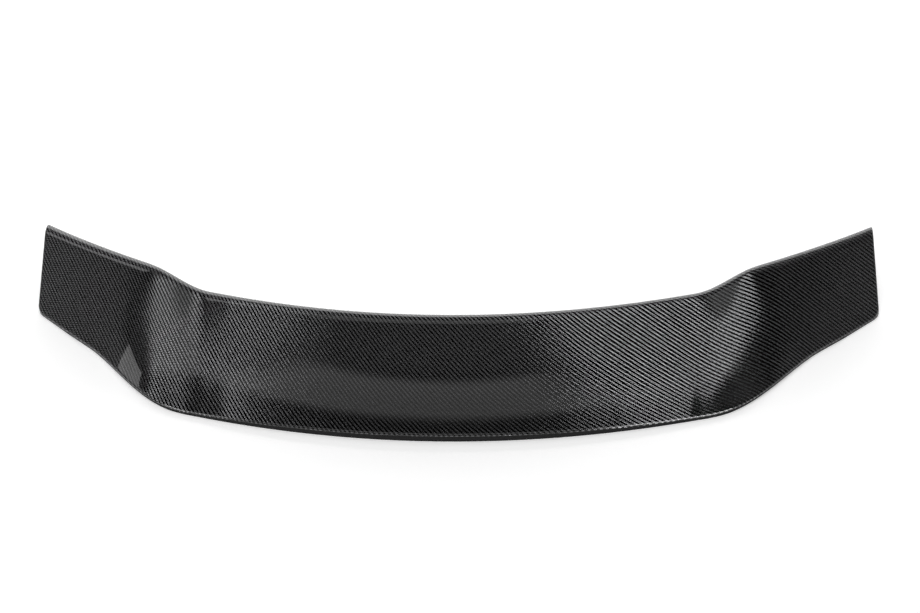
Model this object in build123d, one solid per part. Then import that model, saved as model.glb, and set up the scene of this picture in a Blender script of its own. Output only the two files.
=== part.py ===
from build123d import *
import math
import os

# Rear spoiler for a car: one thin moulded shell with raised wing tips.
# Sizes in mm. X runs along the span, Y from the lip to the top edge, Z up.

# Span and plan
span = 1280.0
tip_lean = 12.0
chord_run = 166.0
bow_length = 450.0
lip_bow = 65.0
top_bow = 103.0
wing_lip_run = 100.0
wing_sweep = 39.5
lower_tip_radius = 17.0

# Heights
lip_height = 14.0
wing_lip_height = 3.5
lip_taper = 9.0
wing_lift = 6.5
top_height = 95.5
top_fall = 48.0
wing_top_height = 87.5
wing_fall = 2.8

# Step up to the wing tips
lip_step_x = 458.0
lip_step_half = 92.0
top_step_x = 404.0
top_step_half = 38.0

# Chord profile
lip_slope = 15.0
face_slope = 42.0
flare_start = 0.05
flare_end = 0.65
roll_radius = 14.5
roll_rise = 25.0
roll_depth = 30.0
roll_bead = 21.0

# Wall, rim and bonding flange
wall = 3.0
edge_radius = 2.5
rim_overlap = 2.0
flange_width = 20.0
flange_thickness = 3.0
flange_length = 700.0

# Worked out from the sizes above
half_span = span / 2.0
margin = 4.0 * wall
columns = 52
rows = 20
lip_points = 28
top_points = 16
sheet_tolerance = 0.3
depth = top_height + roll_rise + lip_height + top_fall


def smooth(low, high, value):
    q = min(max((value - low) / (high - low), 0.0), 1.0)
    return q * q * (3.0 - 2.0 * q)


def step(x, t):
    centre = lip_step_x + (top_step_x - lip_step_x) * t
    half = lip_step_half + (top_step_half - lip_step_half) * t
    return smooth(centre - half, centre + half, abs(x))


def mix(a, b, s):
    return a + (b - a) * s


def lip_y(x, s):
    centre = lip_bow * (x / bow_length) ** 2
    wing = wing_lip_run + math.tan(math.radians(wing_sweep)) * (abs(x) - lip_step_x)
    return mix(centre, wing, s)


def top_y(x):
    return chord_run + top_bow * (x / bow_length) ** 2


def top_z(x, s):
    centre = top_height - top_fall * (x / bow_length) ** 2
    wing = wing_top_height - math.tan(math.radians(wing_fall)) * (abs(x) - top_step_x)
    return mix(centre, wing, s)


def lift(x):
    start = lip_step_x - lip_step_half
    q = min(max((abs(x) - start) / (half_span - start), 0.0), 1.0)
    return wing_lift * math.sin(math.pi * q) ** 2


def flare_rise(t):
    low = math.tan(math.radians(lip_slope))
    high = math.tan(math.radians(face_slope))
    width = flare_end - flare_start
    q = min(max((t - flare_start) / width, 0.0), 1.0)
    bend = width * (q ** 3 - 0.5 * q ** 4) + max(t - flare_end, 0.0)
    return low * t + (high - low) * bend


def rim_height(x, s):
    centre = lip_height - lip_taper * (x / bow_length) ** 2
    return mix(centre, wing_lip_height, s)


def skin(x, t):
    s = step(x, t)
    low_y = lip_y(x, s)
    y = mix(low_y, top_y(x), t)
    low_z = rim_height(x, s) + lift(x)
    high_z = top_z(x, s) + roll_rise
    rise = mix(flare_rise(t) / flare_rise(1.0), t, s)
    return Vector(x, y, mix(low_z, high_z, rise))


def skin_normal(x, t):
    along = skin(x + 0.5, t) - skin(x - 0.5, t)
    across = skin(x, t + 0.002) - skin(x, t - 0.002)
    return along.cross(across).normalized()


def rim_base(x, t):
    rim = rim_height(x, step(x, t)) + rim_overlap
    return skin(x, t) - Vector(0, 0, mix(rim, roll_depth, t))


def inner_skin(x, t):
    return skin(x, t) - skin_normal(x, t) * wall


def sheet(surface):
    grid = []
    for j in range(rows + 1):
        v = j / rows
        t = -0.08 + 1.13 * (v + 0.5 * v * (1.0 - v))
        line = []
        for i in range(columns + 1):
            x = (half_span + margin) * (2.0 * i / columns - 1.0)
            line.append(surface(x, t))
        grid.append(line)
    return Face.make_surface_from_array_of_points(grid, tol=sheet_tolerance)


def below(surface):
    return extrude(sheet(surface), amount=2.0 * depth, dir=(0, 0, -1))


def plan_edge(t, inset, reach, count):
    points = []
    for i in range(count + 1):
        x = reach * (2.0 * i / count - 1.0)
        here = skin(x, t)
        run = skin(x + 0.5, t) - skin(x - 0.5, t)
        side = Vector(-run.Y, run.X, 0).normalized()
        if t > 0.5:
            side = side * -1.0
        points.append(Vector(here.X, here.Y, 0) + side * inset)
    return Spline(*points)


def plan_prism(inset):
    low = plan_edge(0.0, inset, half_span - inset, lip_points)
    high = plan_edge(1.0, inset, half_span - tip_lean - inset, top_points)
    right = Line(low @ 1, high @ 1)
    left = Line(high @ 0, low @ 0)
    face = make_face([low, right, high, left])
    block = extrude(face, amount=2.0 * depth, dir=(0, 0, 1))
    return fillet(block.edges().filter_by(Axis.Z).sort_by(Axis.Y)[:2], lower_tip_radius - inset)


def flange():
    front = plan_edge(0.0, 0.5 * wall, flange_length / 2.0, 24)
    back = plan_edge(0.0, flange_width, flange_length / 2.0, 24)
    right = Line(front @ 1, back @ 1)
    left = Line(back @ 0, front @ 0)
    return extrude(make_face([front, right, back, left]), amount=flange_thickness, dir=(0, 0, 1))


def skin_edges(block):
    edges = block.faces().sort_by(SortBy.AREA)[-1].edges()
    back = edges.sort_by(SortBy.LENGTH)[-2:].sort_by(Axis.Y)[-1:]
    return edges - back, back


outer = below(skin) & plan_prism(0.0)
outer = fillet(skin_edges(outer)[1], roll_radius)
outer = fillet(skin_edges(outer)[0], edge_radius)
inner = below(inner_skin) & plan_prism(wall)
inner = chamfer(skin_edges(inner)[1], roll_bead)
shell = outer - below(rim_base) - inner + flange()

# Origin at the middle of the footprint, on the surface the lip rests on
box = shell.bounding_box()
shell = Pos(-box.center().X, -box.center().Y, -box.min.Z) * shell

os.makedirs("parts", exist_ok=True)
export_step(shell, "parts/spoiler_shell.step")
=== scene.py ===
"""Studio scene of a carbon-cloth car spoiler shell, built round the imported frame."""

import logging
import math
from dataclasses import dataclass, field
from enum import Enum, IntEnum
from typing import List, Sequence, Tuple

import bmesh
import bpy
from mathutils import Matrix, Vector


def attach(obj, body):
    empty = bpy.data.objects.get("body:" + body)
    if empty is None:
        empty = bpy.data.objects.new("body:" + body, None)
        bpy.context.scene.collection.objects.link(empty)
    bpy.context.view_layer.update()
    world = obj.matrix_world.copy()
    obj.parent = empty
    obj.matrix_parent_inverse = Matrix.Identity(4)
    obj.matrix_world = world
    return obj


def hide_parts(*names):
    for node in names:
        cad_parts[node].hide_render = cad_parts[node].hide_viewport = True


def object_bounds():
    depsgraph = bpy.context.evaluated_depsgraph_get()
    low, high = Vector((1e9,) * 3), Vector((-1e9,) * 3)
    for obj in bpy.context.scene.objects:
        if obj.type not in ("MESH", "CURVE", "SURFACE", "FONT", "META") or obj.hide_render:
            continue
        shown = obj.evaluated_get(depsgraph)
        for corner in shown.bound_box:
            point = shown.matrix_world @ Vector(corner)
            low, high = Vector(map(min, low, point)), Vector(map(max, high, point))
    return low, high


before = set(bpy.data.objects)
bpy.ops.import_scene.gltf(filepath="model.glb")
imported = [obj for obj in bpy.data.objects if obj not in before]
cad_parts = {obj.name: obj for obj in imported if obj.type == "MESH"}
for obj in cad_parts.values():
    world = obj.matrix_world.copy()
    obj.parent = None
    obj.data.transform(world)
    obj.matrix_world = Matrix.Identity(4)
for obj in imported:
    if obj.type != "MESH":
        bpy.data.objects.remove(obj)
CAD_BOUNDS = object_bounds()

LOG = logging.getLogger("spoiler")
MM = 0.001
Colour = Tuple[float, float, float, float]
Place = Tuple[float, float, float]
WHITE: Colour = (1.0, 1.0, 1.0, 1.0)


class Side(IntEnum):
    """Material index of the shell's faces."""

    OUTER = 0
    INNER = 1
    RIM = 2


class Reach(Enum):
    """What a lamp acts on."""

    ALL = "all"
    GLOSS = "reflections only"
    MATT = "matt surfaces only"


def smooth(low: float, high: float, value: float) -> float:
    """Eases from 0 to 1 between two limits.

    Args:
        low: value at which the result is 0.
        high: value at which the result is 1.
        value: the value to ease.

    Returns:
        A number from 0 to 1.
    """
    q = min(max((value - low) / (high - low), 0.0), 1.0)
    return q * q * (3.0 - 2.0 * q)


def mix(a: float, b: float, s: float) -> float:
    """Blends two numbers.

    Args:
        a: result at s 0.
        b: result at s 1.
        s: share of b.

    Returns:
        The blended number.
    """
    return a + (b - a) * s


@dataclass
class ShellForm:
    """Sizes in mm of the moulded skin and the formulas of its surface."""

    span: float = 1280.0
    tip_lean: float = 12.0
    chord_run: float = 166.0
    bow_length: float = 450.0
    lip_bow: float = 65.0
    top_bow: float = 103.0
    wing_lip_run: float = 100.0
    wing_sweep: float = 39.5
    lower_tip_round: float = 9.5
    upper_tip_round: float = 3.0
    lip_height: float = 14.0
    wing_lip_height: float = 3.5
    lip_taper: float = 9.0
    wing_lift: float = 6.5
    top_height: float = 95.5
    top_fall: float = 48.0
    wing_top_height: float = 87.5
    wing_fall: float = 2.8
    lip_step_x: float = 458.0
    lip_step_half: float = 92.0
    top_step_x: float = 404.0
    top_step_half: float = 38.0
    lip_slope: float = 15.0
    face_slope: float = 42.0
    flare_start: float = 0.05
    flare_end: float = 0.65
    roll_radius: float = 14.5
    roll_rise: float = 25.0
    roll_depth: float = 30.0
    wall: float = 2.2
    edge_radius: float = 2.5
    rim_overlap: float = 2.0
    flange_width: float = 20.0
    flange_thickness: float = 3.0
    flange_length: float = 700.0

    def step(self, x: float, t: float) -> float:
        """Share of the wing's form at a point.

        Args:
            x: place along the span.
            t: place along the chord, 0 at the lip and 1 at the top edge.

        Returns:
            0 in the middle part and 1 on a wing tip.
        """
        centre = mix(self.lip_step_x, self.top_step_x, t)
        half = mix(self.lip_step_half, self.top_step_half, t)
        return smooth(centre - half, centre + half, abs(x))

    def lip_y(self, x: float, s: float) -> float:
        """Plan line of the lip.

        Args:
            x: place along the span.
            s: share of the wing's form.

        Returns:
            Y of the lip.
        """
        centre = self.lip_bow * (x / self.bow_length) ** 2
        sweep = math.tan(math.radians(self.wing_sweep))
        wing = self.wing_lip_run + sweep * (abs(x) - self.lip_step_x)
        return mix(centre, wing, s)

    def top_y(self, x: float) -> float:
        """Plan line of the top edge.

        Args:
            x: place along the span.

        Returns:
            Y of the top edge.
        """
        return self.chord_run + self.top_bow * (x / self.bow_length) ** 2

    def top_z(self, x: float, s: float) -> float:
        """Height of the top edge.

        Args:
            x: place along the span.
            s: share of the wing's form.

        Returns:
            Z of the top edge.
        """
        centre = self.top_height - self.top_fall * (x / self.bow_length) ** 2
        fall = math.tan(math.radians(self.wing_fall))
        wing = self.wing_top_height - fall * (abs(x) - self.top_step_x)
        return mix(centre, wing, s)

    def lift(self, x: float) -> float:
        """Arch of the wing's lower edge above the floor.

        Args:
            x: place along the span.

        Returns:
            Height of the arch.
        """
        start = self.lip_step_x - self.lip_step_half
        q = min(max((abs(x) - start) / (self.span / 2.0 - start), 0.0), 1.0)
        return self.wing_lift * math.sin(math.pi * q) ** 2

    def flare_rise(self, t: float) -> float:
        """Rise of the flared chord profile.

        Args:
            t: place along the chord.

        Returns:
            Rise for a chord of length 1.
        """
        low = math.tan(math.radians(self.lip_slope))
        high = math.tan(math.radians(self.face_slope))
        width = self.flare_end - self.flare_start
        q = min(max((t - self.flare_start) / width, 0.0), 1.0)
        bend = width * (q**3 - 0.5 * q**4) + max(t - self.flare_end, 0.0)
        return low * t + (high - low) * bend

    def rim_height(self, x: float, s: float) -> float:
        """Height of the rim under the lip.

        Args:
            x: place along the span.
            s: share of the wing's form.

        Returns:
            Height of the rim.
        """
        centre = self.lip_height - self.lip_taper * (x / self.bow_length) ** 2
        return mix(centre, self.wing_lip_height, s)

    def face(self, x: float, t: float) -> Vector:
        """Point of the outer skin before its top edge is rolled.

        Args:
            x: place along the span.
            t: place along the chord.

        Returns:
            The point in mm.
        """
        s = self.step(x, t)
        y = mix(self.lip_y(x, s), self.top_y(x), t)
        low = self.rim_height(x, s) + self.lift(x)
        high = self.top_z(x, s) + self.roll_rise
        rise = mix(self.flare_rise(t) / self.flare_rise(1.0), t, s)
        return Vector((x, y, mix(low, high, rise)))

    def roll_drop(self, x: float, gap: float) -> float:
        """Fall of the rolled top edge below the face.

        Args:
            x: place along the span.
            gap: distance in Y from the top edge.

        Returns:
            The fall, 0 where the roll has not started.
        """
        plan = math.hypot(1.0, 2.0 * self.top_bow * x / self.bow_length**2)
        edge = self.face(x, 1.0)
        ahead = self.face(x, 0.8)
        slope = plan * (edge.z - ahead.z) / (edge.y - ahead.y)
        r = self.roll_radius
        d = max(gap / plan, 0.0)
        if d >= r * (1.0 + slope / math.hypot(1.0, slope)):
            return 0.0
        circle = math.sqrt(max(2.0 * r * d - d * d, 0.0))
        return slope * (r - d) + r * math.hypot(1.0, slope) - circle

    def skin(self, x: float, t: float) -> Vector:
        """Point of the outer skin.

        Args:
            x: place along the span.
            t: place along the chord.

        Returns:
            The point in mm.
        """
        here = self.face(x, t)
        here.z -= self.roll_drop(x, self.top_y(x) - here.y)
        return here

    def rim_base(self, x: float, t: float) -> float:
        """Height of the rim's lower edge.

        Args:
            x: place along the span.
            t: place along the chord.

        Returns:
            Z of the rim's lower edge, never below the floor.
        """
        rim = self.rim_height(x, self.step(x, t)) + self.rim_overlap
        return max(self.face(x, t).z - mix(rim, self.roll_depth, t), 0.0)

    def tip_x(self, t: float) -> float:
        """Half span along the slanted tip edge.

        Args:
            t: place along the chord.

        Returns:
            X of the tip edge.
        """
        return self.span / 2.0 - self.tip_lean * t

    def chord(self, x: float) -> float:
        """Plan length of the chord.

        Args:
            x: place along the span.

        Returns:
            Run in Y from the lip to the top edge.
        """
        return self.top_y(x) - self.lip_y(x, self.step(x, 0.0))


@dataclass
class ClothMap:
    """Lays a woven cloth over the skin: it turns with the span and is drawn out over the wings."""

    form: ShellForm
    tow: float = 1.76
    drape: Tuple[Tuple[float, float, float], ...] = (
        (-640.0, 0.78, 0.70),
        (-560.0, 0.78, 0.70),
        (-500.0, 0.77, 0.70),
        (-440.0, 0.75, 0.68),
        (-400.0, 0.92, 0.68),
        (-366.0, 1.05, 0.69),
        (-324.0, 1.08, 0.74),
        (-150.0, 1.03, 0.85),
        (-38.0, 1.01, 0.94),
        (100.0, 0.95, 1.02),
        (258.0, 0.84, 1.10),
        (360.0, 0.88, 1.14),
        (426.0, 1.06, 1.20),
        (480.0, 1.15, 1.18),
        (522.0, 1.21, 1.18),
        (640.0, 1.21, 1.19),
    )
    turn_start: float = 330.0
    turn_end: float = 470.0
    stations: int = 800
    lengths: List[float] = field(default_factory=list)
    leans: List[float] = field(default_factory=list)
    rises: List[float] = field(default_factory=list)

    def __post_init__(self) -> None:
        """Adds up the span's length, lean and chord draw at even stations."""
        total = 0.0
        reach = self.form.span / 2.0
        last = self.form.skin(-reach, 0.5)
        for i in range(self.stations + 1):
            x = reach * (2.0 * i / self.stations - 1.0)
            here = self.form.skin(x, 0.5)
            along, across = self.draw(x)
            total += (here - last).length * along
            ahead = self.form.skin(x + 2.0, 0.5) - self.form.skin(x - 2.0, 0.5)
            slope = math.atan2(ahead.y, ahead.x)
            keep = 1.0 - smooth(self.turn_start, self.turn_end, abs(x))
            lean = math.sin(slope) * keep
            self.lengths.append(total)
            self.leans.append(lean)
            self.rises.append(across - lean)
            last = here

    def draw(self, x: float) -> Tuple[float, float]:
        """How far the cloth is drawn out at a place along the span.

        Args:
            x: place along the span.

        Returns:
            Tows per tow width along the span and along the chord.
        """
        for low, high in zip(self.drape, self.drape[1:]):
            if x <= high[0]:
                share = smooth(low[0], high[0], x)
                return mix(low[1], high[1], share), mix(low[2], high[2], share)
        return self.drape[-1][1], self.drape[-1][2]

    def _look(self, table: Sequence[float], x: float) -> float:
        """Reads a station table.

        Args:
            table: values at even stations.
            x: place along the span.

        Returns:
            The value between the two stations.
        """
        reach = self.form.span / 2.0
        at = min(max((x + reach) / (2.0 * reach), 0.0), 1.0) * self.stations
        i = min(int(at), self.stations - 1)
        return mix(table[i], table[i + 1], at - i)

    def place(self, x: float, arc: float) -> Tuple[float, float]:
        """Cloth place of a skin point, counted in tows.

        Args:
            x: place along the span.
            arc: length along the chord from its middle in mm.

        Returns:
            Place along the span and along the chord in tows.
        """
        u = self._look(self.lengths, x) + self._look(self.leans, x) * arc
        v = self._look(self.rises, x) * arc
        return u / self.tow, v / self.tow


@dataclass(frozen=True)
class TwillFinish:
    """Black twill cloth under clear lacquer, with painted sheen: the weft tows get a bright tone
    and the warp tows a near-black one, standing for the light one tow family catches and the other
    misses.
    """

    name: str = "twill_lacquer"
    # Painted sheen and shade: the bright weft and near-black warp stand for how light falls on the
    # two tow families, not for any difference in the fibres.
    warp_painted_shade: Colour = (0.006, 0.006, 0.006, 1.0)
    weft_painted_sheen: Colour = (0.13, 0.13, 0.134, 1.0)
    gap: Colour = (0.004, 0.004, 0.004, 1.0)
    roughness: float = 0.17
    coat_roughness: float = 0.03
    coat_ior: float = 1.5
    crown: float = 45.0
    slant: float = 0.7
    repeat: float = 4.0
    fibres: float = 14.0
    fibre_run: float = 0.35
    fibre_shift: float = 7.0
    streak_low: float = 0.75
    streak_gain: float = 0.5
    groove: float = 0.8
    groove_power: float = 6.0


@dataclass(frozen=True)
class BareFinish:
    """Unpolished resin and cloth on the underside; on the upright rim a darker, duller copy is
    painted shade.
    """

    name: str = "bare_resin"
    base: Colour = (0.022, 0.022, 0.024, 1.0)
    roughness: float = 0.55
    specular: float = 0.5
    grain: float = 900.0
    grain_depth: float = 0.0004
    grain_strength: float = 0.4


UNDERSIDE = BareFinish()
# Painted shade: the rim gets a near-black colour and low specular, standing for the shade and dark
# reflections on the lacquered skirt.
RIM_PAINTED_SHADE_FINISH = BareFinish("painted_shade_rim", (0.012, 0.012, 0.013, 1.0), 0.5, 0.15)


class Nodes:
    """Short way to add and link shader nodes."""

    def __init__(self, material: bpy.types.Material) -> None:
        """Takes over a material's node tree.

        Args:
            material: the material to fill.
        """
        material.use_nodes = True
        self.tree = material.node_tree
        self.tree.nodes.clear()

    def add(self, kind: str, **values: object) -> bpy.types.Node:
        """Adds a node and sets its properties.

        Args:
            kind: the node's type name.
            values: properties of the node.

        Returns:
            The node.
        """
        node = self.tree.nodes.new(kind)
        for key, value in values.items():
            setattr(node, key, value)
        return node

    def math(self, operation: str, *inputs: object) -> bpy.types.NodeSocket:
        """Adds a math node.

        Args:
            operation: the operation's name.
            inputs: numbers or sockets.

        Returns:
            The result's socket.
        """
        node = self.add("ShaderNodeMath", operation=operation)
        for i, value in enumerate(inputs):
            self.feed(node.inputs[i], value)
        return node.outputs[0]

    def feed(self, socket: bpy.types.NodeSocket, value: object) -> None:
        """Links a socket or sets its value.

        Args:
            socket: the input.
            value: a number, a colour or an output socket.
        """
        if isinstance(value, bpy.types.NodeSocket):
            self.tree.links.new(value, socket)
        else:
            socket.default_value = value

    def vector(self, operation: str, a: object, b: object = None) -> bpy.types.NodeSocket:
        """Adds a vector math node.

        Args:
            operation: the operation's name.
            a: first vector's socket.
            b: second vector's socket, if the operation takes one.

        Returns:
            The result's socket.
        """
        node = self.add("ShaderNodeVectorMath", operation=operation)
        self.feed(node.inputs[0], a)
        if b is not None:
            self.feed(node.inputs[1], b)
        return node.outputs[0]

    def scaled(self, a: object, factor: object) -> bpy.types.NodeSocket:
        """Scales a vector.

        Args:
            a: the vector's socket.
            factor: the scale.

        Returns:
            The scaled vector's socket.
        """
        node = self.add("ShaderNodeVectorMath", operation="SCALE")
        self.feed(node.inputs[0], a)
        self.feed(node.inputs["Scale"], factor)
        return node.outputs[0]

    def either(self, over: object, a: object, under: object, b: object) -> bpy.types.NodeSocket:
        """Takes one of two numbers.

        Args:
            over: 1 where the first holds and else 0.
            a: first number.
            under: 1 where the second holds and else 0.
            b: second number.

        Returns:
            The number's socket.
        """
        return self.math("ADD", self.math("MULTIPLY", over, a), self.math("MULTIPLY", under, b))

    def blend(self, factor: object, a: object, b: object) -> bpy.types.NodeSocket:
        """Mixes two colours.

        Args:
            factor: share of b.
            a: first colour.
            b: second colour.

        Returns:
            The mixed colour's socket.
        """
        node = self.add("ShaderNodeMix", data_type="RGBA")
        self.feed(node.inputs[0], factor)
        self.feed(node.inputs[6], a)
        self.feed(node.inputs[7], b)
        return node.outputs[2]


def twill_material(finish: TwillFinish) -> bpy.types.Material:
    """Builds the lacquered twill from cloth coordinates counted in tows.

    Args:
        finish: colours and gloss.

    Returns:
        The material.
    """
    material = bpy.data.materials.new(finish.name)
    n = Nodes(material)
    cloth = n.add("ShaderNodeUVMap", uv_map="cloth")
    parts = n.add("ShaderNodeSeparateXYZ")
    n.feed(parts.inputs[0], cloth.outputs[0])
    u, v = parts.outputs[0], parts.outputs[1]
    whole = n.math("ADD", n.math("FLOOR", u), n.math("FLOOR", v))
    sloped = n.math("SUBTRACT", n.math("ADD", u, v), 1.0)
    stepped = n.math("MULTIPLY", whole, 1.0 - finish.slant)
    total = n.math("ADD", stepped, n.math("MULTIPLY", sloped, finish.slant))
    phase = n.math("FLOORED_MODULO", n.math("ADD", total, 0.5), finish.repeat)
    over = n.math("LESS_THAN", phase, finish.repeat / 2.0)
    under = n.math("SUBTRACT", 1.0, over)
    off_u = n.math("SUBTRACT", n.math("FRACT", u), 0.5)
    off_v = n.math("SUBTRACT", n.math("FRACT", v), 0.5)
    across = n.either(over, n.math("ABSOLUTE", off_u), under, n.math("ABSOLUTE", off_v))
    along = n.either(over, v, under, u)
    fine = n.either(over, u, under, v)
    place = n.add("ShaderNodeCombineXYZ")
    n.feed(place.inputs[0], n.math("MULTIPLY", fine, finish.fibres))
    n.feed(place.inputs[1], n.math("MULTIPLY", along, finish.fibre_run))
    n.feed(place.inputs[2], n.math("MULTIPLY", over, finish.fibre_shift))
    fibre = n.add("ShaderNodeTexNoise", noise_dimensions="3D")
    n.feed(fibre.inputs["Vector"], place.outputs[0])
    fibre.inputs["Scale"].default_value = 1.0
    fibre.inputs["Detail"].default_value = 2.0
    # Painted sheen: over and under pick the weave, and each tow family takes its painted lit or
    # shaded tone.
    weave_and_sheen_tone = n.blend(over, finish.weft_painted_sheen, finish.warp_painted_shade)
    gain = n.math("MULTIPLY", fibre.outputs[0], finish.streak_gain)
    streak = n.math("ADD", finish.streak_low, gain)
    dip = n.math("POWER", n.math("MULTIPLY", across, 2.0), finish.groove_power)
    edge = n.math("SUBTRACT", 1.0, n.math("MULTIPLY", dip, finish.groove))
    colour = n.blend(n.math("MULTIPLY", streak, edge), finish.gap, weave_and_sheen_tone)
    tangent = n.add("ShaderNodeTangent", direction_type="UV_MAP", uv_map="cloth")
    facing = n.add("ShaderNodeNewGeometry")
    side = n.vector("CROSS_PRODUCT", facing.outputs["Normal"], tangent.outputs[0])
    tilt = 2.0 * math.tan(math.radians(finish.crown))
    lean_u = n.math("MULTIPLY", n.math("MULTIPLY", over, off_u), tilt)
    lean_v = n.math("MULTIPLY", n.math("MULTIPLY", under, off_v), tilt)
    roll_u = n.scaled(tangent.outputs[0], lean_u)
    roll_v = n.scaled(side, lean_v)
    rounded = n.vector("ADD", facing.outputs["Normal"], n.vector("ADD", roll_u, roll_v))
    shader = n.add("ShaderNodeBsdfPrincipled")
    n.feed(shader.inputs["Base Color"], colour)
    shader.inputs["Metallic"].default_value = 1.0
    shader.inputs["Roughness"].default_value = finish.roughness
    n.feed(shader.inputs["Normal"], n.vector("NORMALIZE", rounded))
    shader.inputs["Coat Weight"].default_value = 1.0
    shader.inputs["Coat Roughness"].default_value = finish.coat_roughness
    shader.inputs["Coat IOR"].default_value = finish.coat_ior
    out = n.add("ShaderNodeOutputMaterial")
    n.feed(out.inputs["Surface"], shader.outputs[0])
    return material


def bare_material(finish: BareFinish) -> bpy.types.Material:
    """Builds a dull resin finish.

    Args:
        finish: colour and gloss.

    Returns:
        The material.
    """
    material = bpy.data.materials.new(finish.name)
    n = Nodes(material)
    shader = n.add("ShaderNodeBsdfPrincipled")
    grain = n.add("ShaderNodeTexNoise")
    grain.inputs["Scale"].default_value = finish.grain
    where = n.add("ShaderNodeTexCoord")
    n.feed(grain.inputs["Vector"], where.outputs["Object"])
    bump = n.add("ShaderNodeBump")
    bump.inputs["Strength"].default_value = finish.grain_strength
    bump.inputs["Distance"].default_value = finish.grain_depth
    n.feed(bump.inputs["Height"], grain.outputs[0])
    n.feed(shader.inputs["Normal"], bump.outputs[0])
    shader.inputs["Base Color"].default_value = finish.base
    shader.inputs["Roughness"].default_value = finish.roughness
    shader.inputs["Specular IOR Level"].default_value = finish.specular
    out = n.add("ShaderNodeOutputMaterial")
    n.feed(out.inputs["Surface"], shader.outputs[0])
    return material


def spaced(steps: Sequence[float], length: float, count: int) -> List[float]:
    """Places rows along a length, close together at both ends.

    Args:
        steps: distances from an end in mm.
        length: whole length in mm.
        count: number of even rows between the close ones.

    Returns:
        Shares of the length from 0 to 1.
    """
    start = [s / length for s in steps]
    inner = start[-1]
    middle = [mix(inner, 1.0 - inner, i / count) for i in range(1, count)]
    return start + middle + [1.0 - s for s in reversed(start)]


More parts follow.
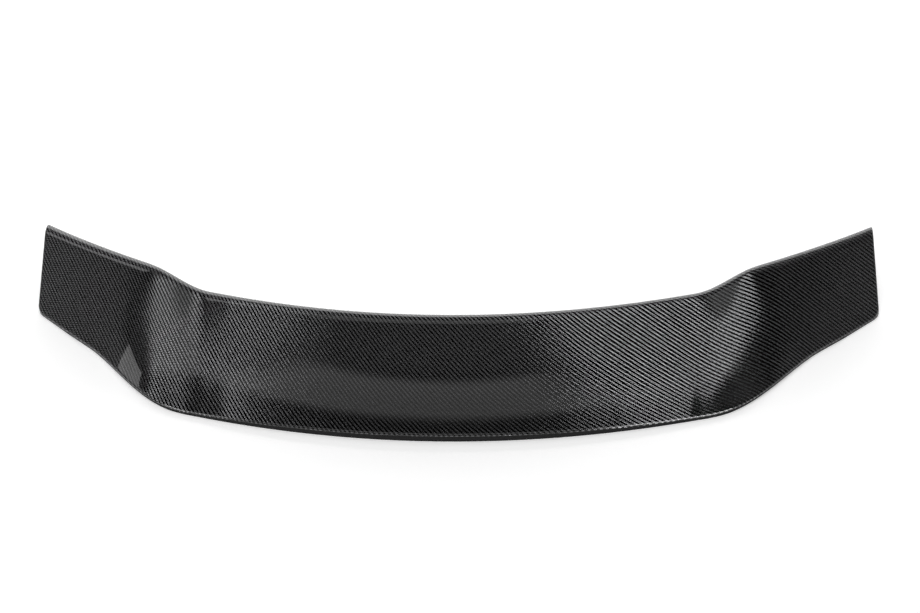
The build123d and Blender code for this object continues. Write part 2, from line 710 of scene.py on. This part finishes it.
@dataclass
class Shell:
    """The moulded skin with its rounded edges, rim and wall."""

    form: ShellForm
    cloth: ClothMap
    origin_y: float
    columns: int = 330
    rows: int = 64
    close: Tuple[float, ...] = (0.0, 0.1, 0.35, 0.75, 1.3, 1.9, 2.6, 3.8, 5.4, 7.4, 10.0)
    arc_steps: int = 20
    least_rim: float = 1.0
    tip_reach: float = 0.5
    sharp_angle: float = 50.0

    def corner(self, side: float, up: float, radius: float) -> Tuple[float, float, float]:
        """Bends a square corner of the grid into a round one.

        Args:
            side: distance from the tip edge in mm.
            up: distance from the lip or the top edge in mm.
            radius: reach of the round corner in mm.

        Returns:
            New distances from both edges, and from the rounded outline.
        """
        p = 1.0 - side / radius
        q = 1.0 - up / radius
        if p <= 0.0 or q <= 0.0:
            return side, up, min(side, up)
        a = p * math.sqrt(1.0 - 0.5 * q * q)
        b = q * math.sqrt(1.0 - 0.5 * p * p)
        return radius * (1.0 - a), radius * (1.0 - b), radius * (1.0 - math.hypot(a, b))

    def point(self, a: float, b: float) -> Tuple[float, float, float]:
        """Place of a grid point on the skin.

        Args:
            a: share of the span from the left tip.
            b: share of the chord from the lip.

        Returns:
            Place along the span, place along the chord, distance from the outline in mm.
        """
        f = self.form
        sign = -1.0 if a < 0.5 else 1.0
        near = min(a, 1.0 - a)
        tip = f.tip_x(b)
        side = 2.0 * near * tip
        chord = f.chord(tip - side)
        low, high = b * chord, (1.0 - b) * chord
        if low < high:
            side, low, rounded = self.corner(side, low, f.lower_tip_round)
            t = low / chord
            edge = min(rounded, side)
        else:
            side, high, _ = self.corner(side, high, f.upper_tip_round)
            t = 1.0 - high / chord
            edge = side
        return sign * (f.tip_x(t) - side), t, edge

    def build(
        self, outer: bpy.types.Material, inner: bpy.types.Material, rim: bpy.types.Material
    ) -> bpy.types.Object:
        """Makes the mesh.

        Args:
            outer: finish of the outside.
            inner: finish of the underside.
            rim: finish of the upright rim, darkened as painted shade.

        Returns:
            The new object.
        """
        f = self.form
        columns = spaced(self.close, f.span, self.columns)
        rows = spaced(self.close, f.chord_run, self.rows)
        wide, tall = len(columns) - 1, len(rows) - 1
        bm = bmesh.new()
        bmesh.ops.create_grid(bm, x_segments=wide, y_segments=tall, size=1.0)
        u_layer = bm.verts.layers.float.new("u")
        v_layer = bm.verts.layers.float.new("v")
        for vert in bm.verts:
            a = columns[round((vert.co.x + 1.0) / 2.0 * wide)]
            b = rows[round((vert.co.y + 1.0) / 2.0 * tall)]
            x, t, edge = self.point(a, b)
            here = f.skin(x, t)
            away = max(f.edge_radius - edge, 0.0)
            here.z -= f.edge_radius - math.sqrt(max(f.edge_radius**2 - away**2, 0.0))
            u, v = self.cloth.place(x, self.arc(x, t))
            vert[u_layer], vert[v_layer] = u, v
            vert.co = here
        self.hang_rim(bm, u_layer, v_layer)
        for vert in bm.verts:
            vert.co = Vector((vert.co.x * MM, vert.co.y * MM + self.origin_y, vert.co.z * MM))
        bm.normal_update()
        heart = Vector((0.0, 0.0, 0.05))
        middle = min(bm.faces, key=lambda face: (face.calc_center_median() - heart).length)
        if middle.normal.z < 0.0:
            bmesh.ops.reverse_faces(bm, faces=bm.faces)
        cloth = bm.loops.layers.uv.new("cloth")
        for face in bm.faces:
            face.smooth = True
            for loop in face.loops:
                loop[cloth].uv = (loop.vert[u_layer], loop.vert[v_layer])
        before = set(bm.faces)
        bmesh.ops.solidify(bm, geom=list(bm.faces), thickness=f.wall * MM)
        for face in bm.faces:
            face.smooth = True
            if face not in before:
                face.material_index = Side.INNER
        mesh = bpy.data.meshes.new("shell")
        bm.to_mesh(mesh)
        bm.free()
        for finish in (outer, inner, rim):
            mesh.materials.append(finish)
        mesh.set_sharp_from_angle(angle=math.radians(self.sharp_angle))
        piece = bpy.data.objects.new("shell", mesh)
        bpy.context.scene.collection.objects.link(piece)
        return piece

    def arc(self, x: float, t: float) -> float:
        """Length along the chord from its middle.

        Args:
            x: place along the span.
            t: place along the chord.

        Returns:
            Signed length in mm.
        """
        total = 0.0
        last = self.form.skin(x, 0.5)
        for i in range(1, self.arc_steps + 1):
            here = self.form.skin(x, mix(0.5, t, i / self.arc_steps))
            total += (here - last).length
            last = here
        return math.copysign(total, t - 0.5)

    def hang_rim(self, bm: bmesh.types.BMesh, u_layer: object, v_layer: object) -> None:
        """Hangs the upright rim from the skin's outline.

        Args:
            bm: the skin, in mm.
            u_layer: cloth place along the span.
            v_layer: cloth place along the chord.
        """
        border = [e for e in bm.edges if e.is_boundary]
        made = bmesh.ops.extrude_edge_only(bm, edges=border)
        for part in made["geom"]:
            if isinstance(part, bmesh.types.BMFace):
                part.material_index = Side.RIM
            elif isinstance(part, bmesh.types.BMVert):
                self.drop(part, u_layer, v_layer)

    def drop(self, vert: bmesh.types.BMVert, u_layer: object, v_layer: object) -> None:
        """Lowers a vertex of the rim to the rim's base.

        Args:
            vert: the vertex, still on the outline.
            u_layer: cloth place along the span.
            v_layer: cloth place along the chord.
        """
        f = self.form
        top = vert.co.copy()
        lip = f.lip_y(top.x, f.step(top.x, 0.0))
        t = min(max((top.y - lip) / f.chord(top.x), 0.0), 1.0)
        low = min(f.rim_base(top.x, t), top.z - self.least_rim)
        depth = (top.z - low) / self.cloth.tow
        if f.tip_x(t) - abs(top.x) < self.tip_reach:
            vert[u_layer] += math.copysign(depth, top.x)
        elif t < 0.5:
            vert[v_layer] -= depth
        else:
            vert[v_layer] += depth
        vert.co.z = low


@dataclass
class Flange:
    """The flat bonding land under the lip."""

    form: ShellForm
    origin_y: float
    columns: int = 60

    def build(self, finish: bpy.types.Material) -> bpy.types.Object:
        """Makes the mesh.

        Args:
            finish: finish of the land.

        Returns:
            The new object.
        """
        f = self.form
        bm = bmesh.new()
        bmesh.ops.create_grid(bm, x_segments=self.columns, y_segments=1, size=1.0)
        for vert in bm.verts:
            x = vert.co.x * f.flange_length / 2.0
            inset = 0.5 * f.wall if vert.co.y < 0.0 else f.flange_width
            run = f.skin(x + 0.5, 0.0) - f.skin(x - 0.5, 0.0)
            side = Vector((-run.y, run.x, 0.0)).normalized()
            here = f.skin(x, 0.0) + side * inset
            vert.co = Vector((here.x * MM, here.y * MM + self.origin_y, f.flange_thickness * MM))
        bm.normal_update()
        bmesh.ops.solidify(bm, geom=list(bm.faces), thickness=f.flange_thickness * MM)
        bmesh.ops.recalc_face_normals(bm, faces=bm.faces)
        mesh = bpy.data.meshes.new("flange")
        bm.to_mesh(mesh)
        bm.free()
        mesh.materials.append(finish)
        piece = bpy.data.objects.new("flange", mesh)
        bpy.context.scene.collection.objects.link(piece)
        return piece


def around(azimuth: float, elevation: float, distance: float = 6.0) -> Place:
    """A point round the object.

    Args:
        azimuth: degrees to the right of the lip's middle.
        elevation: degrees above the floor.
        distance: metres from the object.

    Returns:
        The point.
    """
    az, el = math.radians(azimuth), math.radians(elevation)
    flat = distance * math.cos(el)
    return flat * math.sin(az), -flat * math.cos(az), distance * math.sin(el)


@dataclass(frozen=True)
class Lamp:
    """A softbox that fades towards its edges."""

    name: str
    at: Place
    aim: Place
    size: Tuple[float, float]
    radiance: float
    fade: float
    reach: Reach = Reach.ALL
    turn: float = 0.0

    def build(self) -> bpy.types.Object:
        """Makes the lamp.

        Returns:
            The lamp.
        """
        wide, tall = self.size
        data = bpy.data.lights.new(self.name, "AREA")
        data.shape = "RECTANGLE"
        data.size, data.size_y = wide, tall
        data.energy = self.radiance * math.pi * wide * tall
        data.use_nodes = True
        self.dress(data.node_tree)
        lamp = bpy.data.objects.new(self.name, data)
        at = Vector(self.at)
        lamp.location = at
        lamp.rotation_euler = (Vector(self.aim) - at).to_track_quat("-Z", "Y").to_euler()
        lamp.rotation_euler.rotate_axis("Z", math.radians(self.turn))
        lamp.visible_diffuse = self.reach is not Reach.GLOSS
        lamp.visible_glossy = self.reach is not Reach.MATT
        bpy.context.scene.collection.objects.link(lamp)
        return lamp

    def dress(self, tree: bpy.types.NodeTree) -> None:
        """Fades the light towards the softbox's edges.

        Args:
            tree: the lamp's nodes.
        """
        spot = tree.nodes.new("ShaderNodeNewGeometry")
        parts = tree.nodes.new("ShaderNodeSeparateXYZ")
        tree.links.new(spot.outputs["Parametric"], parts.inputs[0])
        level = tree.nodes.new("ShaderNodeMath")
        level.operation = "MULTIPLY"
        for axis in (0, 1):
            inner = tree.nodes.new("ShaderNodeMath")
            inner.operation = "PINGPONG"
            inner.inputs[1].default_value = 0.5
            tree.links.new(parts.outputs[axis], inner.inputs[0])
            ramp = tree.nodes.new("ShaderNodeMapRange")
            ramp.interpolation_type = "SMOOTHSTEP"
            ramp.inputs["From Max"].default_value = self.fade
            tree.links.new(inner.outputs[0], ramp.inputs["Value"])
            tree.links.new(ramp.outputs[0], level.inputs[axis])
        tree.links.new(level.outputs[0], tree.nodes["Emission"].inputs["Strength"])


MIDDLE: Place = (0.0, 0.0, 0.05)
LAMPS: Tuple[Lamp, ...] = (
    Lamp("overhead", (-0.5, -0.7, 2.5), (-0.5, -0.7, 0.0), (2.5, 2.1), 0.7, 0.22),
    Lamp("right", around(30.2, 27.0), MIDDLE, (2.8, 3.8), 9.3, 0.02, Reach.GLOSS),
    Lamp("left", around(-46.2, 27.0), MIDDLE, (1.8, 3.4), 6.6, 0.05, Reach.GLOSS),
    Lamp("left_high", around(-96.0, 46.0), MIDDLE, (1.9, 1.9), 1.8, 0.04, Reach.GLOSS, 45.0),
    Lamp("back", (0.0, 4.0, 1.6), MIDDLE, (7.0, 2.6), 2.0, 0.1),
    Lamp("floor_fill", (0.0, 0.8, 4.0), (0.0, 0.8, 0.0), (8.0, 7.0), 0.9, 0.1, Reach.MATT),
    Lamp("low_fill", (0.0, 3.0, 1.5), MIDDLE, (6.0, 1.2), 3.3, 0.1, Reach.MATT),
)


@dataclass
class Studio:
    """Floor, lamps, world and camera."""

    origin_y: float
    floor_size: float = 14.0
    floor_tone: Colour = (0.9, 0.9, 0.9, 1.0)
    floor_glow: float = 0.4
    world_level: float = 0.02
    azimuth: float = -8.0
    elevation: float = 48.0
    roll: float = -5.7
    distance: float = 6.0
    focal: float = 156.5
    sensor: float = 36.0
    far: float = 100.0
    target: Place = (0.0133, 0.22213, 0.05)

    def floor(self) -> bpy.types.Object:
        """Makes the pale floor.

        Returns:
            The floor.
        """
        bm = bmesh.new()
        bmesh.ops.create_grid(bm, x_segments=1, y_segments=1, size=self.floor_size)
        mesh = bpy.data.meshes.new("floor")
        bm.to_mesh(mesh)
        bm.free()
        material = bpy.data.materials.new("floor_white")
        n = Nodes(material)
        rays = n.add("ShaderNodeLightPath")
        matt = n.add("ShaderNodeBsdfDiffuse")
        matt.inputs["Color"].default_value = self.floor_tone
        glow = n.add("ShaderNodeEmission")
        glow.inputs["Color"].default_value = WHITE
        seen = n.math("ADD", rays.outputs["Is Camera Ray"], rays.outputs["Is Glossy Ray"])
        seen = n.math("MINIMUM", n.math("ADD", seen, rays.outputs["Is Transmission Ray"]), 1.0)
        n.feed(glow.inputs["Strength"], n.math("MULTIPLY", seen, self.floor_glow))
        both = n.add("ShaderNodeAddShader")
        n.feed(both.inputs[0], matt.outputs[0])
        n.feed(both.inputs[1], glow.outputs[0])
        out = n.add("ShaderNodeOutputMaterial")
        n.feed(out.inputs["Surface"], both.outputs[0])
        mesh.materials.append(material)
        piece = bpy.data.objects.new("floor", mesh)
        bpy.context.scene.collection.objects.link(piece)
        return piece

    def lights(self) -> None:
        """Sets up the softboxes and the dim world."""
        for lamp in LAMPS:
            lamp.build()
        world = bpy.data.worlds.new("studio")
        world.use_nodes = True
        sky = world.node_tree.nodes["Background"]
        sky.inputs["Color"].default_value = WHITE
        sky.inputs["Strength"].default_value = self.world_level
        bpy.context.scene.world = world

    def camera(self) -> None:
        """Sets the camera at the photograph's view."""
        az, el, ro = (math.radians(q) for q in (self.azimuth, self.elevation, self.roll))
        ahead = Vector((math.sin(az) * math.cos(el), math.cos(az) * math.cos(el), -math.sin(el)))
        right = Vector((math.cos(az), -math.sin(az), 0.0))
        up = right.cross(ahead)
        side = right * math.cos(ro) + up * math.sin(ro)
        top = up * math.cos(ro) - right * math.sin(ro)
        aim = Vector(self.target) + Vector((0.0, self.origin_y, 0.0))
        data = bpy.data.cameras.new("camera")
        data.lens = self.focal
        data.sensor_width = self.sensor
        data.clip_end = self.far
        camera = bpy.data.objects.new("camera", data)
        turn = Matrix((side, top, -ahead)).transposed().to_4x4()
        camera.matrix_world = Matrix.Translation(aim - ahead * self.distance) @ turn
        bpy.context.scene.collection.objects.link(camera)
        bpy.context.scene.camera = camera


def main() -> None:
    """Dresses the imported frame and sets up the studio."""
    logging.basicConfig(level=logging.INFO, format="%(name)s: %(message)s")
    low, _ = CAD_BOUNDS
    form = ShellForm()
    twill = twill_material(TwillFinish())
    bare = bare_material(UNDERSIDE)
    # Painted shade: the upright rim takes the darkened finish.
    rim = bare_material(RIM_PAINTED_SHADE_FINISH)
    shell = Shell(form, ClothMap(form), low.y).build(twill, bare, rim)
    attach(shell, "root")
    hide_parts("spoiler_shell")
    LOG.info("shell: %d faces", len(shell.data.polygons))
    land = Flange(form, low.y).build(bare)
    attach(land, "root")
    LOG.info("flange: %d faces", len(land.data.polygons))
    studio = Studio(low.y)
    floor = studio.floor()
    studio.lights()
    studio.camera()
    bpy.context.scene.view_settings.view_transform = "Standard"
    LOG.info("studio ready")


if __name__ == "__main__":
    main()
